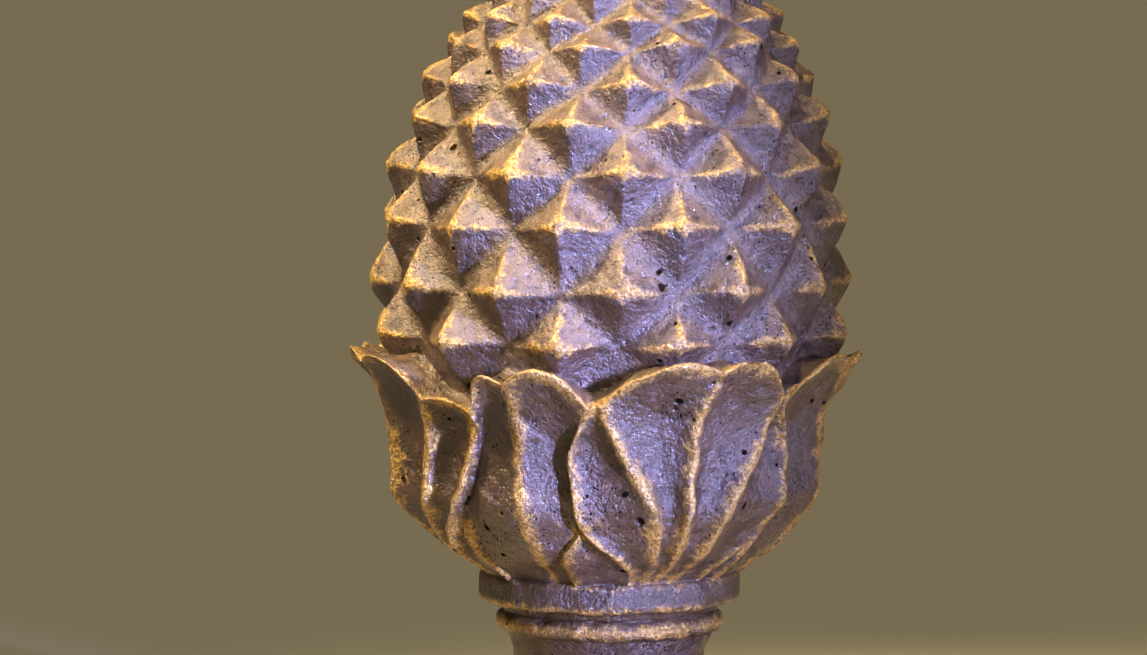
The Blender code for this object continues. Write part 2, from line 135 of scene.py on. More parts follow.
# Degrees from the middle of a front leaf, against height over the cup's height
NARROW_EDGE_ANGLES = (
    (-0.03, 13.0), (0.04, 14.0), (0.143, 20.0), (0.239, 28.5), (0.326, 31.0), (0.461, 32.2),
    (0.561, 32.7), (0.626, 31.8), (0.704, 29.6), (0.79, 26.4),
)
BROAD_EDGE_ANGLES = (
    (-0.03, 9.0), (0.04, 10.0), (0.109, 11.8), (0.165, 14.2), (0.243, 19.2), (0.3, 23.3), (0.39, 27.4),
    (0.51, 31.0), (0.626, 34.2), (0.704, 36.2), (0.735, 36.2),
)
WIDE_BASE_EDGE_ANGLES = (
    (-0.03, 21.0), (0.04, 23.0), (0.143, 28.5), (0.239, 32.0), (0.326, 33.4), (0.461, 33.0),
    (0.561, 32.7), (0.626, 31.8), (0.704, 29.6), (0.8, 26.0),
)
SIDE_RIB_ANGLES = (
    (-0.03, 5.0), (0.17, 8.5), (0.32, 10.5), (0.45, 14.0), (0.6, 18.6), (0.7, 21.6), (0.8, 23.6),
)
UPRIGHT_RIB_ANGLES = (
    (-0.03, 4.5), (0.15, 8.0), (0.27, 12.6), (0.36, 15.2), (0.52, 16.8), (0.68, 19.6), (0.8, 21.5),
)
SLANTED_RIB_ANGLES = (
    (-0.03, 5.5), (0.17, 8.8), (0.32, 10.0), (0.47, 15.0), (0.61, 20.4), (0.72, 23.4), (0.8, 24.4),
)
CENTRE_RIB_ANGLES = ((-0.03, -1.5), (0.15, -1.2), (0.45, -1.2), (0.6, -0.5), (0.75, 0.0), (0.943, 2.5))
# Share of the way from a back leaf's rib to the front leaf where the basal lobe's rim runs, on either side
BASAL_LOBE_RIM_SHARES = (
    (-0.03, 0.28), (0.03, 0.28), (0.09, 0.31), (0.15, 0.42), (0.2, 0.64), (0.24, 0.9), (0.27, 0.95),
    (1.0, 0.95),
)
SMALL_LOBE_RIM_SHARES = ((-0.03, 0.68), (0.03, 0.72), (0.1, 0.79), (0.2, 0.9), (0.26, 0.95), (1.0, 0.95))
BASAL_LOBE_FADE_SHARES = ((-0.03, 0.6), (0.03, 1.0), (0.2, 1.0), (0.25, 0.75), (0.31, 0.0), (1.0, 0.0))
# How far the flutes and the setback of the back leaves are cut, against the way up the leaf
CUT_DEPTH_SHARES = (
    (0.0, 0.05), (0.05, 0.16), (0.15, 0.5), (0.3, 0.88), (0.45, 1.0), (0.75, 1.0), (0.88, 0.75),
    (0.96, 0.32), (1.0, 0.12),
)
BACK_RIM_SHARE = 0.909
BACK_EVEN_DROP_SHARE = 0.11
BACK_LOBE_SKEW_FACTOR = 6.0
BACK_CORNER_RISE_SHARE = 0.01
BACK_RIB_SHIFT_ANGLE = 2.2
BACK_RIB_TURN_ANGLE = 0.5

# Front leaves: angle of the middle, edge and rib on the left, rib and edge on the right, and outward bend
FRONT_LEAVES = (
    (22.3, NARROW_EDGE_ANGLES, SIDE_RIB_ANGLES, SLANTED_RIB_ANGLES, WIDE_BASE_EDGE_ANGLES, 1.0),
    (118.0, NARROW_EDGE_ANGLES, SIDE_RIB_ANGLES, SIDE_RIB_ANGLES, NARROW_EDGE_ANGLES, 0.6),
    (203.0, NARROW_EDGE_ANGLES, SIDE_RIB_ANGLES, SIDE_RIB_ANGLES, NARROW_EDGE_ANGLES, 0.95),
    (288.0, NARROW_EDGE_ANGLES, SIDE_RIB_ANGLES, UPRIGHT_RIB_ANGLES, BROAD_EDGE_ANGLES, 1.04),
)

# Height of each row of scales over the cone's rise. Row 0 is the widest, and the cup hides the lowest
HIDDEN_ROW_COUNT = 2
FIRST_ROW = -HIDDEN_ROW_COUNT
SCALE_ROW_SHARES = (
    -0.31, -0.145, 0.0, 0.18, 0.327, 0.466, 0.575, 0.68, 0.752, 0.83, 0.888, 0.932, 0.966,
)
SCALE_SHRINK_POWER = 0.8
SCALE_DROOP_SHARE = 0.55
SCALE_LIFT_SHARE = 0.07
SCALE_JITTER_SHARE = 0.04
SCALE_HEIGHT_JITTER_SHARE = 0.09
SCALE_FOOT_SHARE = 0.83
SCALE_BULGE_POWER = 0.88
POINT_WEAR_SHARE = 0.08
VALLEY_ROUNDING_SHARE = 0.12
CORNER_DEPTH_SHARE = 0.05
CORNER_REACH_SHARE = 0.17
# Radius of the bud over its own, against height over the bud's height
BUD_PROFILE_SHARES = (
    (1.25, -0.02), (1.06, 0.02), (1.0, 0.1), (1.02, 0.3), (0.97, 0.5), (0.85, 0.7), (0.6, 0.88),
    (0.3, 0.97),
)

# Uneven skin: height and size of the waves, and the same for points that drift sideways
SKIN_WAVES = ((0.5, 17.0), (0.45, 7.0), (0.3, 3.4))
DRIFT_WAVES = ((1.0, 22.0), (0.45, 8.0))
DRIFT = 1.1
WORN_DEPTH = 0.5
WORN_SPOT_SIZE = 5.0

# How finely the surface is worked
INNER_FLUTE_STEPS = 14
OUTER_FLUTE_STEPS = 9
BACK_FLUTE_STEPS = 11
LEAF_ROW_COUNT = 66
FLUTE_GATHERING_SHARE = 0.07
LEDGE_STEPS = 12
SCALE_STEPS = 12
SCALE_GATHERING_SHARE = 0.45
STEM_STEP = 1.9
PLINTH_SIDE_STEPS = 28

# For the paint: how far gilt reaches from a raised line, how it fades down a scale's ridges and gathers at
# its point, a distance that no gilt reaches, and the depth of fine relief
GILT_REACH = 5.0
GILT_FOOT_FADE = 3.0
GILT_SLOPE_FADE = 1.2
GILT_UNDERSIDE_FADE = 4.0
GILT_POINT_REACH = 2.6
FAR = 99.0
RELIEF_DEPTH = 1.4
PART_NAMES = ("stem", "plinth", "cup", "cone")

# The view of the photograph, in its pixels
PHOTO_WIDTH = 1147
FOCAL_PIXELS = 5000.0
AXIS_PIXEL = 608.8
CAMERA_ELEVATION = math.radians(4.7)
CAMERA_DISTANCE = 2.0
AIM_HEIGHT = 188.0 * MM

# Narrow studio lights: name, place, aim and size in metres, spread in degrees, power in watts and colour
COOL, WARM, CREAM = (0.38, 0.42, 1.0), (1.0, 0.78, 0.46), (1.0, 0.84, 0.58)
STUDIO_LIGHTS = (
    ("cool_window", (1.27, -1.49, 0.42), (-0.06, -0.055, 0.22), (0.1, 0.4), 8.3, 1.2, COOL),
    ("warm_side", (-1.15, -0.4, 1.8), (-0.01, -0.02, 0.22), (0.3, 0.3), 13.0, 0.82, WARM),
    ("warm_top", (-0.3, -0.85, 2.0), (-0.02, -0.03, 0.25), (0.25, 0.25), 12.0, 0.24, CREAM),
    ("warm_edge", (1.6, -0.5, 0.7), (0.06, -0.02, 0.24), (0.3, 0.3), 9.0, 0.045, WARM),
    ("warm_fill", (-1.5, -0.7, 0.3), (-0.04, -0.04, 0.2), (0.3, 0.3), 11.0, 0.03, WARM),
)
FLOOR_REACH = 60000.0


def curve(points, at):
    """A smooth curve through the points, read at each place."""
    xs, ys = np.array(points, float).T
    at = np.clip(np.asarray(at, float), xs[0], xs[-1])
    slopes = np.gradient(ys, xs)
    steps = np.diff(ys) / np.diff(xs)
    turning = np.concatenate([[False], steps[:-1] * steps[1:] <= 0, [False]])
    slopes[turning] = 0.0
    i = np.clip(np.searchsorted(xs, at, side="right") - 1, 0, len(xs) - 2)
    width = xs[i + 1] - xs[i]
    s = (at - xs[i]) / width
    rise = ys[i + 1] - ys[i]
    a = slopes[i] * width - rise
    b = rise - slopes[i + 1] * width
    return ys[i] + s * rise + s * (1 - s) * ((1 - s) * a + s * b)


def smooth(x, low, high):
    """0 below low, 1 above high and a soft step between."""
    t = np.clip((np.asarray(x, float) - low) / (high - low), 0, 1)
    return t * t * (3 - 2 * t)


def noise(points, size, seed):
    """Soft random values from -1 to 1 that vary over this many millimetres."""
    p = np.asarray(points, float) / size + 1000.0
    cell = np.floor(p).astype(np.int64)
    f = p - cell
    f = f * f * (3 - 2 * f)
    total = np.zeros(len(p))
    for corner in range(8):
        dx, dy, dz = corner & 1, (corner >> 1) & 1, (corner >> 2) & 1
        h = (cell[:, 0] + dx) * 73856093 ^ (cell[:, 1] + dy) * 19349663 ^ (cell[:, 2] + dz) * 83492791
        h = (h ^ (seed * 2654435761)) & 0xFFFFFFFF
        h = ((h ^ (h >> 15)) * 2246822519) & 0xFFFFFFFF
        h = ((h ^ (h >> 13)) * 3266489917) & 0xFFFFFFFF
        value = (h ^ (h >> 16)) / 2147483648.0 - 1
        weight = (
            (f[:, 0] if dx else 1 - f[:, 0])
            * (f[:, 1] if dy else 1 - f[:, 1])
            * (f[:, 2] if dz else 1 - f[:, 2])
        )
        total += weight * value
    return total


def hump(f):
    """Nothing at both ends of a leaf's rim between two ribs, and 1 in the middle."""
    return 4 * f * (1 - f)


def gathered(count):
    """Steps from 0 to 1 that crowd towards both ends."""
    f = np.arange(count) / count
    return f - FLUTE_GATHERING_SHARE * np.sin(2 * np.pi * f)


def leaf_radius(height, bend):
    """Radius of the cup at a height over the cup's height, where leaves bend outward this much."""
    shape = curve(CUP_PROFILE_SHARES, height)
    return CUP_RADIUS * (shape + (bend - 1) * np.clip(shape - 1, 0, None))


def leaf_lines(leaf, rows):
    """The edge and rib lines of a front leaf from left to right, each as angles and heights up its rows."""
    middle, left, left_rib, right_rib, right, _ = leaf
    lines = []
    for points, side in ((left, -1), (left_rib, -1), (CENTRE_RIB_ANGLES, 1), (right_rib, 1), (right, 1)):
        start = points[0][0]
        heights = start + (points[-1][0] - start) * rows
        lines.append((middle + side * curve(points, heights), heights))
    return lines


def raised_line(height, distance, reach):
    """Height of a soft bead at a distance from its middle."""
    return height * np.exp(-((distance / reach) ** 2))


def flute(f, width):
    """How deep a flute of this width is cut: flat on the ribs, with steep shoulders and a round bottom."""
    crest = np.clip(RIB_HALF_WIDTH / width, 0, 0.3)
    inside = np.clip((f - crest) / (1 - 2 * crest), 0, 1)
    return (4 * inside * (1 - inside)) ** FLUTE_ROUNDING_POWER


def front_leaf(leaf, rows):
    """Columns of a front leaf: angle, height, radius, distance from a raised line and depth below it."""
    middle = leaf[0]
    lines = leaf_lines(leaf, rows)
    cut = curve(CUT_DEPTH_SHARES, rows)
    columns = []
    for k in range(4):
        (angle_a, height_a), (angle_b, height_b) = lines[k], lines[k + 1]
        inner = k in (1, 2)
        breadth = abs(angle_b[-1] - angle_a[-1])
        outer_share = OUTER_LOBE_SHARE * min(1.0, breadth / BROAD_LOBE_ANGLE)
        rise = LOBE_RISE_SHARE * (1.0 if inner else outer_share)
        places = list(gathered(INNER_FLUTE_STEPS if inner else OUTER_FLUTE_STEPS))
        for f in places + ([1.0] if k == 3 else []):
            angle = (1 - f) * angle_a + f * angle_b
            height = (1 - f) * height_a + f * height_b + rise * hump(f) * rows**3
            share = np.abs(angle - middle) / EDGE_DROP_ANGLE
            drop = EDGE_DROP * share**2 * curve(CUT_DEPTH_SHARES, np.minimum(rows, 0.6))
            base = leaf_radius(height, leaf[-1])
            width = np.maximum(np.radians(angle_b - angle_a) * base, 2.0)
            depth = flute(f, width) * cut
            to_a = f * width
            to_b = (1 - f) * width
            below_rim = (1 - rows) * (height[-1] - height[0]) * CUP_HEIGHT
            ridge = np.minimum(np.minimum(to_a, to_b), below_rim)
            outer = to_a if k == 0 else to_b if k == 3 else np.full(len(rows), FAR)
            rib_bead = raised_line(FRONT_RIB_BEAD, np.minimum(to_a, to_b), RIB_BEAD_REACH)
            bead = raised_line(RIM_BEAD, outer, SIDE_BEAD_REACH) + rib_bead
            bead = bead * cut + raised_line(RIM_BEAD, below_rim, TOP_BEAD_REACH)
            columns.append((angle, height, base - drop - FLUTE_DEPTH * depth + bead, ridge, depth))
    return columns


def back_leaf(leaf, following, rows):
    """Columns of the leaf that shows between one front leaf and the one that follows it."""
    angle_a, height_a = leaf_lines(leaf, rows)[-1]
    angle_b, height_b = leaf_lines(following, rows)[0]
    angle_b = angle_b + (360.0 if angle_b[0] < angle_a[0] else 0.0)
    angle_a = angle_a + WALL_ANGLE
    angle_b = angle_b - WALL_ANGLE
    rib_angle = 0.5 * (angle_a.mean() + angle_b.mean()) + BACK_RIB_SHIFT_ANGLE + BACK_RIB_TURN_ANGLE * rows
    base = height_a[0]
    rib_height = base + (BACK_RIM_SHARE - base) * rows
    cut = curve(CUT_DEPTH_SHARES, rows)
    bend = 0.5 * (leaf[-1] + following[-1])
    ones = np.ones(len(rows))
    halves = []
    sides = ((angle_a, height_a, SMALL_LOBE_RIM_SHARES), (angle_b, height_b, BASAL_LOBE_RIM_SHARES))
    for edge_angle, edge_height, lobe_rim in sides:
        edge_height = edge_height + BACK_CORNER_RISE_SHARE * rows**6
        skew = 1 + BACK_LOBE_SKEW_FACTOR * max(0.0, BACK_RIM_SHARE - edge_height[-1] - BACK_EVEN_DROP_SHARE)
        rise = LOBE_RISE_SHARE * (0.4 + 0.6 * skew)
        rim = curve(lobe_rim, edge_height)
        wall = rim - BASAL_LOBE_WALL_SHARE
        shares = [wall * f for f in gathered(BACK_FLUTE_STEPS)] + [wall, 0.5 * (wall + rim), rim]
        shares += [rim + (1 - rim) * f for f in (0.1, 0.25, 0.45, 0.65, 0.85)] + [ones]
        half = []
        for f in shares:
            f = f * ones
            angle = (1 - f) * rib_angle + f * edge_angle
            height = (1 - f) * rib_height + f * edge_height + rise * hump(f**skew) * rows**3
            width = np.radians(np.abs(edge_angle - rib_angle)) * CUP_RADIUS
            crest = np.clip(1 - RIB_HALF_WIDTH / np.maximum(f * width, RIB_HALF_WIDTH), 0, 1)
            sweep = np.sin(0.5 * np.pi * f)
            setback = BACK_RIB_SETBACK + (BACK_FOOT_SETBACK - BACK_RIB_SETBACK) * sweep * crest
            beyond = np.clip((f - rim) / (1 - rim), 0, 1)
            lift = np.where(f >= rim, 1 - 0.75 * np.sin(0.8 * np.pi * beyond), smooth(f, wall, rim))
            fade = curve(BASAL_LOBE_FADE_SHARES, height)
            lift = BASAL_LOBE_LIFT * lift * fade
            below_rim = (1 - rows) * (height[-1] - height[0]) * CUP_HEIGHT
            lobe_edge = np.where(fade > 0.3, np.abs(f - rim) * width, FAR)
            ridge = np.minimum(np.minimum(f * width, below_rim), lobe_edge)
            bead = raised_line(BACK_RIB_BEAD, f * width, RIB_BEAD_REACH) * cut
            bead = bead + raised_line(RIM_BEAD, below_rim, TOP_BEAD_REACH)
            radius = leaf_radius(height, bend) - setback * cut + lift + bead
            half.append((angle, height, radius, ridge, sweep * cut))
        halves.append(half)
    return halves[0][::-1] + halves[1][1:]


def cup_columns(rows):
    columns = []
    for k, leaf in enumerate(FRONT_LEAVES):
        columns += front_leaf(leaf, rows)
        columns += back_leaf(leaf, FRONT_LEAVES[(k + 1) % len(FRONT_LEAVES)], rows)
    return columns


def evened(angle, height):
    """Heights round a ring, each the average over a few degrees, drawn up where the rim is above that."""
    apart = (angle[:, None] - angle[None, :] + 180.0) % 360.0 - 180.0
    share = np.exp(-((apart / LEDGE_EVENING_ANGLE) ** 2))
    share *= np.abs((np.roll(angle, -1) - np.roll(angle, 1) + 180.0) % 360.0 - 180.0)
    average = share @ height / share.sum(axis=1)
    return average + LEDGE_FOLLOW_SHARE * np.maximum(height - average, 0)


def on_ring(angle, radius, height):
    """Points at these angles in degrees from the front, radii and heights."""
    turn = np.radians(angle)
    return np.stack([radius * np.sin(turn), -radius * np.cos(turn), height + 0.0 * turn], axis=-1)


def closed_grid(points, split=None):
    """Rings of points from the bottom up, each ring the same way round, closed by a fan at both ends."""
    rings, round_count, _ = points.shape
    vertices = np.concatenate([points.reshape(-1, 3), [points[0].mean(axis=0), points[-1].mean(axis=0)]])
    bottom = rings * round_count
    top = bottom + 1
    i = np.arange(round_count)
    n = (i + 1) % round_count
    last = (rings - 1) * round_count
    fans = np.concatenate([
        np.stack([np.full(round_count, bottom), n, i], 1),
        np.stack([np.full(round_count, top), last + i, last + n], 1),
    ])
    r = np.arange(rings - 1)[:, None] * round_count
    a, b = (r + i).ravel(), (r + n).ravel()
    c, d = b + round_count, a + round_count
    if split is None:
        across_ac = np.linalg.norm(vertices[a] - vertices[c], axis=1)
        across_bd = np.linalg.norm(vertices[b] - vertices[d], axis=1)
        short = across_ac < across_bd
    else:
        short = split.ravel()
    one = np.where(short[:, None], np.stack([a, b, c], 1), np.stack([a, b, d], 1))
    two = np.where(short[:, None], np.stack([a, c, d], 1), np.stack([b, c, d], 1))
    return vertices, np.concatenate([fans, one, two])


def leaf_row_places():
    """Places up the leaf, closer together near the rim."""
    s = np.linspace(0, 1, LEAF_ROW_COUNT)
    return s + 0.1 * np.sin(np.pi * s) * s


def cup_surface():
    """The leaves with the ledge inside their rims: points, faces, distance from a raised line, and depth."""
    rows = leaf_row_places()
    columns = cup_columns(rows)
    angle, height, radius, ridge, depth = (np.array([c[k] for c in columns]).T for k in range(5))
    height = CUP_BASE + CUP_HEIGHT * height
    rings = [on_ring(angle[r], radius[r], height[r]) for r in range(len(rows))]
    marks = [(ridge[r], depth[r]) for r in range(len(rows))]
    top = angle[-1]
    flat = np.zeros(len(top))
    for turn in (0.35, 0.7, 1.0):
        inward = 0.5 * LIP_WIDTH * (1 - math.cos(turn * math.pi / 2))
        rise = LIP_RISE * math.sin(turn * math.pi / 2)
        rings.append(on_ring(top, radius[-1] - inward, height[-1] + rise))
        marks.append((flat, flat))
    edge = rings[-1]
    ledge = evened(top, height[-1]) + LIP_RISE
    inner = on_ring(top, LEDGE_RADIUS, ledge)
    reach = np.linalg.norm(inner - edge, axis=1)
    for step in range(1, LEDGE_STEPS + 1):
        f = (step / LEDGE_STEPS) ** 1.3
        ring = (1 - f) * edge + f * inner
        ring[:, 2] += (1 - f - (1 - f) ** LEDGE_EASE_POWER) * (inner - edge)[:, 2]
        ring[:, 2] -= 1.6 * LIP_RISE * math.sin(math.pi * f) ** 0.7
        rings.append(ring)
        marks.append((f * reach, 0.3 + 0.4 * f + flat))
    rings.append(on_ring(top, 0.7 * LEDGE_RADIUS, ledge.max()))
    marks.append((flat + FAR, flat))
    vertices, faces = closed_grid(np.array(rings))
    ridge = np.concatenate([np.concatenate([m[0] for m in marks]), [FAR, FAR]])
    depth = np.concatenate([np.concatenate([m[1] for m in marks]), [0, 0]])
    return vertices, faces, ridge, depth


def row_turn(row):
    """How far up the cone's oval a place is, in radians, for a row number that may be a fraction."""
    numbers = FIRST_ROW + np.arange(len(SCALE_ROW_SHARES))
    turns = np.arcsin(SCALE_ROW_SHARES)
    below = turns[0] - (turns[1] - turns[0])
    above = turns[-1] + 0.7 * (turns[-1] - turns[-2])
    return np.interp(row, [FIRST_ROW - 1, *numbers, numbers[-1] + 1], [below, *turns, above])


def on_cone(column, row, lift):
    """A point of the cone: half a scale to a column, a row to a row of scales, lift 1 at a scale's point."""
    turn = row_turn(row)
    sunk = SCALE_HEIGHT * np.cos(turn) ** SCALE_SHRINK_POWER * (1 - lift)
    radius = CONE_RADIUS * np.cos(turn) - sunk * np.cos(SCALE_DROOP_SHARE * turn)
    height = CONE_RISE * np.sin(turn) - sunk * np.sin(SCALE_DROOP_SHARE * turn)
    point = on_ring(LATTICE_ANGLE + column * 180.0 / SCALES_ROUND, radius, CONE_WIDEST + height)
    point[..., 0] += CONE_LEAN * np.clip((height + 0.1 * CONE_RISE) / (0.85 * CONE_RISE), 0, 2) ** 1.2
    return point


def scale_shifts():
    """For each scale, how far its point sits from the middle of its foot, and its own height."""
    chance = np.random.RandomState(11)
    shape = (len(SCALE_ROW_SHARES), 2 * SCALES_ROUND)
    sideways = SCALE_JITTER_SHARE * chance.uniform(-1, 1, shape)
    upward = SCALE_LIFT_SHARE + SCALE_JITTER_SHARE * chance.uniform(-1, 1, shape)
    tall = 1 + SCALE_HEIGHT_JITTER_SHARE * chance.uniform(-1, 1, shape)
    tall[0] = 0.0
    return sideways, upward, tall


def from_gilt_ridge(dx, dy, h, width):
    """Distance from a scale's gilt, which keeps to its point and to the ridges at its sides and above it."""
    at_point = smooth(h, 0.7, 0.95)
    underside = (dy < 0) * (np.abs(dx) < np.abs(dy))
    distance = np.minimum(np.abs(dx), np.abs(dy)) * width + GILT_FOOT_FADE * (1 - smooth(h, 0.1, 0.45))
    distance += GILT_UNDERSIDE_FADE * underside * (1 - at_point)
    distance += GILT_SLOPE_FADE * (1 - smooth(h, 0.35, 0.8))
    return np.maximum(distance - GILT_POINT_REACH * at_point, 0)


def cone_surface():
    """The cone of scales, on a grid with lines along the ridges and diagonals along the valleys.

    dx and dy are how far a vertex is from its scale's point, in columns and rows, and h is 1 at the point
    and 0 in the valleys.
    """
    sideways, upward, tall = scale_shifts()
    f = np.arange(SCALE_STEPS) / SCALE_STEPS
    f = f - SCALE_GATHERING_SHARE * np.sin(2 * np.pi * f) / (2 * np.pi)
    across = np.concatenate([i + f for i in range(2 * SCALES_ROUND)])
    first, last = FIRST_ROW, FIRST_ROW + len(SCALE_ROW_SHARES) - 1
    up = np.concatenate([j + f for j in range(first, last)] + [[last]])
    x, y = np.meshgrid(across, up)
    column, row = np.floor(x).astype(int), np.minimum(np.floor(y).astype(int), last - 1)
    even = (column + row) % 2 == 0
    fx, fy = x - column, y - row
    near = np.where(even, fx + fy < 1, fx - fy > 0)
    scale_column = column + np.where(even, np.where(near, 0, 1), np.where(near, 1, 0))
    scale_row = row + np.where(near, 0, 1)
    dx, dy = x - scale_column, y - scale_row
    h = np.clip(1 - np.abs(dx) - np.abs(dy), 0, 1)
    k = (scale_row - FIRST_ROW, scale_column % (2 * SCALES_ROUND))
    on_face = (h - (1 - SCALE_FOOT_SHARE)) / SCALE_FOOT_SHARE
    on_face = np.minimum(0.5 * (on_face + np.sqrt(on_face**2 + VALLEY_ROUNDING_SHARE**2)), 1)
    point_shape = on_face**SCALE_BULGE_POWER - POINT_WEAR_SHARE * smooth(on_face, 0.72, 1.0)
    lift = point_shape * tall[k]
    to_side = np.minimum(np.hypot(dx - 1, dy), np.hypot(dx + 1, dy))
    to_end = np.minimum(np.hypot(dx, dy - 1), np.hypot(dx, dy + 1))
    corner = 1 - np.clip(to_side / CORNER_REACH_SHARE, 0, 1)
    corner += 1 - np.clip(to_end / CORNER_REACH_SHARE, 0, 1)
    lift -= CORNER_DEPTH_SHARE * corner
    points = on_cone(x + sideways[k] * h, y + upward[k] * h, lift)
    width = np.radians(180.0 / SCALES_ROUND) * CONE_RADIUS * np.cos(row_turn(y))
    ridge = from_gilt_ridge(dx, dy, h, width) + FAR * (scale_row == FIRST_ROW)
    tip = bud_rings(points[-1])
    base = points[0].copy()
    base[:, :2] *= 0.88 * CORE_RADIUS / np.linalg.norm(base[:, :2], axis=1)[:, None]
    base[:, 2] -= 0.12 * CONE_RISE
    rings = np.concatenate([base[None], points, tip])
    split = np.zeros((len(rings) - 1, len(across)), bool)
    split[1:1 + len(up) - 1] = ~even[:-1]
    vertices, faces = closed_grid(rings, split)
    plain = np.full(len(across), 2.0)
    ridge = np.concatenate([plain, ridge.ravel(), *[plain] * len(tip), [2, 2]])
    depth = np.concatenate([0 * plain, (1 - on_face).ravel(), *[0.3 + 0 * plain] * len(tip), [0, 0]])
    return vertices, faces, ridge, depth


def bud_rings(border):
    """Rings of the small bud that closes the cone."""
    middle = border.mean(axis=0)
    out = border - middle
    turns = np.arctan2(out[:, 0], -out[:, 1])
    rings = []
    for radius, height in BUD_PROFILE_SHARES:
        ring = np.stack([np.sin(turns), -np.cos(turns), 0 * turns], 1) * radius * BUD_RADIUS
        rings.append(middle + ring + [0, 0, height * BUD_HEIGHT])
    return np.array(rings)


def rounded(radius, low, high, corner, count):
    """Profile points of a moulding with rounded edges, from its foot to its top."""
    corner = min(corner, 0.5 * (high - low))
    turns = np.linspace(0, 0.5 * np.pi, count)
    lower = [(radius - corner * (1 - math.sin(t)), low + corner * (1 - math.cos(t))) for t in turns]
    upper = [(r, high - (z - low)) for r, z in reversed(lower)]
    return lower + upper[1 if upper[0] == lower[-1] else 0:]


def stem_profile():
    """Radius and height up the turned stem."""
    waist = NECK_BASE + 0.62 * NECK_HEIGHT
    profile = [(FOOT_RADIUS - 0.5 * FOOT_HEIGHT, PLINTH_HEIGHT - SEAM_OVERLAP)]
    profile += rounded(FOOT_RADIUS, PLINTH_HEIGHT, FOOT_TOP, 0.5 * FOOT_HEIGHT, 7)
    profile += [(FOOT_FILLET_RADIUS, FOOT_TOP + STEP_EASE), (FOOT_FILLET_RADIUS, NECK_BASE)]
    spread = FOOT_FILLET_RADIUS - NECK_SET_IN - NECK_RADIUS
    for share in (0.0, 0.06, 0.14, 0.24, 0.36, 0.5, 0.66, 0.82):
        height = NECK_BASE + STEP_EASE + share * (waist - NECK_BASE)
        profile.append((NECK_RADIUS + spread * (1 - share) ** 3, height))
    flare = 0.45 * (BEAD_RADIUS - NECK_RADIUS)
    for share in (0.0, 0.2, 0.4, 0.6, 0.8, 0.95):
        profile.append((NECK_RADIUS + flare * share**2, waist + share * (BEAD_BASE - waist)))
    profile += rounded(BEAD_RADIUS, BEAD_BASE, GROOVE_BASE, 0.5 * BEAD_HEIGHT, 7)
    ease = 0.12 * GROOVE_HEIGHT
    profile.append((BEAD_RADIUS - GROOVE_DEPTH, GROOVE_BASE + ease))
    profile.append((BEAD_RADIUS - 0.4 * GROOVE_DEPTH, RING_BASE - ease))
    profile += rounded(RING_RADIUS, RING_BASE, CUP_BASE, 0.22 * RING_HEIGHT, 5)
    profile.append((0.8 * RING_RADIUS, CUP_BASE + STEP_EASE))
    return profile


def close_spaced(profile, step):
    """The same profile with points no further apart than step."""
    dense = [profile[0]]
    for (r0, z0), (r1, z1) in zip(profile, profile[1:]):
        count = max(1, int(math.ceil(math.hypot(r1 - r0, z1 - z0) / step)))
        dense += [(r0 + (r1 - r0) * i / count, z0 + (z1 - z0) * i / count) for i in range(1, count + 1)]
    return dense


def stem_surface():
    turns = np.arange(STEM_SIDES) * 360.0 / STEM_SIDES
    profile = close_spaced(stem_profile(), STEM_STEP)
    rings = np.array([on_ring(turns, radius, height) for radius, height in profile])
    vertices, faces = closed_grid(rings)
    # Distance of each point of the profile from the nearest edge that carries gilt
    raised = []
    for radius, height in profile:
        to_edge = min(
            math.hypot(radius - RING_RADIUS, height - RING_BASE - 0.8) + 1.2,
            math.hypot(radius - RING_RADIUS, height - CUP_BASE + 0.8) + 2.4,
            math.hypot(radius - BEAD_RADIUS, height - BEAD_BASE - 0.5 * BEAD_HEIGHT),
            math.hypot(radius - FOOT_RADIUS, height - FOOT_TOP + 0.3 * FOOT_HEIGHT),
            math.hypot(radius - FOOT_FILLET_RADIUS, height - NECK_BASE),
        )
        raised.append(to_edge)
    ridge = np.concatenate([np.repeat(raised, STEM_SIDES), [FAR, FAR]])
    return vertices, faces, ridge, np.full(len(vertices), 0.4)


def plinth_surface():
    """A square slab, its faces worked finely enough to carry wear."""
    half = 0.5 * PLINTH_SIDE
    cut = PLINTH_CHAMFER
    steps = np.linspace(-1, 1, PLINTH_SIDE_STEPS + 1)
    rings = []
    levels = [(0.0, 0.0)] + [(0.0, h) for h in np.linspace(2.5, PLINTH_HEIGHT - cut, 8)]
    levels += [(0.35 * cut, PLINTH_HEIGHT - 0.3 * cut), (cut, PLINTH_HEIGHT)]
    for inset, height in levels:
        side, corner = half - inset, half - cut - 0.6 * inset
        ring = [(side, corner * s) for s in steps]
        ring += [(-corner * s, side) for s in steps]
        ring += [(-side, -corner * s) for s in steps]
        ring += [(corner * s, -side) for s in steps]
        rings.append([(x, y, height) for x, y in ring])
    # Rings across the top, from the edge inwards
    outline = np.array(rings[-1])
    for share in (0.97, 0.92, 0.86, 0.8, 0.7):
        rings.append((outline * [share, share, 1]).tolist())
    vertices, faces = closed_grid(np.array(rings, float))
    x, y, z = np.abs(vertices).T
    to_top_edge = np.hypot(half - np.maximum(x, y), PLINTH_HEIGHT - z)
    to_upright_edge = np.hypot(half - x, half - y)
    return vertices, faces, np.minimum(to_top_edge, to_upright_edge), np.full(len(vertices), 0.4)


